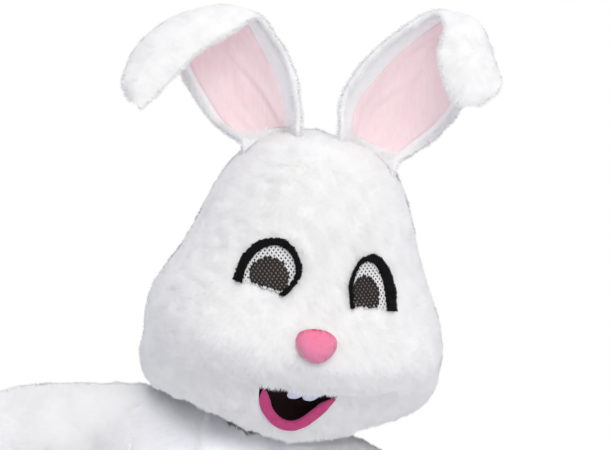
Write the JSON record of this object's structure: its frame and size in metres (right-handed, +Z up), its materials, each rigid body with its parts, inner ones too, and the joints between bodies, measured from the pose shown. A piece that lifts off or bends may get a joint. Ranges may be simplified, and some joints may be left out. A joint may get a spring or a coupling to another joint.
{
  "type": "worn bunny costume: plush mascot head and one-piece suit",
  "caption": "White plush bunny costume as worn and hollow: round mascot head with folded pink-lined ears, mesh eyes, pink nose and open mouth, over a one-piece suit with an arm out sideways.",
  "frame": {"origin": "middle of the wearer's neck on the shoulder line, where the suit and the head hang on the wearer", "axes": "+Z up, -Y the wearer's front, +X the wearer's left"},
  "size_m": [1.0945, 0.3722, 1.8553],
  "materials": {
    "white_plush": "short white plush pile",
    "pink_satin": "pale pink brushed satin",
    "pink_felt": "pink felted plush",
    "deep_pink_plush": "deep pink felt",
    "black_plush": "matt black pile",
    "white_mesh": "white open mesh with a printed dark pupil",
    "dark_lining": "dark matt cloth",
    "tooth_white": "white felt",
    "white_tape": "woven zip tape",
    "white_chain": "white plastic coil",
    "zinc": "plain zinc"
  },
  "bodies": {
    "costume": {"ear_left_lining": "pink_satin", "ear_left_outer": "white_plush", "ear_right_lining": "pink_satin", "ear_right_outer": "white_plush", "eye_left_border": "black_plush", "eye_left_screen": "white_mesh", "eye_right_border": "black_plush", "eye_right_screen": "white_mesh", "head_back_left": "white_plush", "head_back_right": "white_plush", "head_chin": "white_plush", "head_crown": "white_plush", "head_face": "white_plush", "lip": "deep_pink_plush", "mouth_lining": "dark_lining", "nose": "pink_felt", "sleeve_left": "white_plush", "sleeve_right": "white_plush", "suit_back_left": "white_plush", "suit_back_right": "white_plush", "suit_front_left": "white_plush", "suit_front_right": "white_plush", "tooth_left": "tooth_white", "tooth_right": "tooth_white", "zip_chain": "white_chain", "zip_slider": "zinc", "zip_tape": "white_tape"},
    "zip_tab": {"zip_pull": "zinc"}
  },
  "joints": [
    {"name": "zip_tab_hinge", "type": "hinge", "parent": "costume", "child": "zip_tab", "pos_m": [0, 0.0958, -0.0423], "axis": [1, 0, 0], "range_deg": [0, 120]}
  ]
}
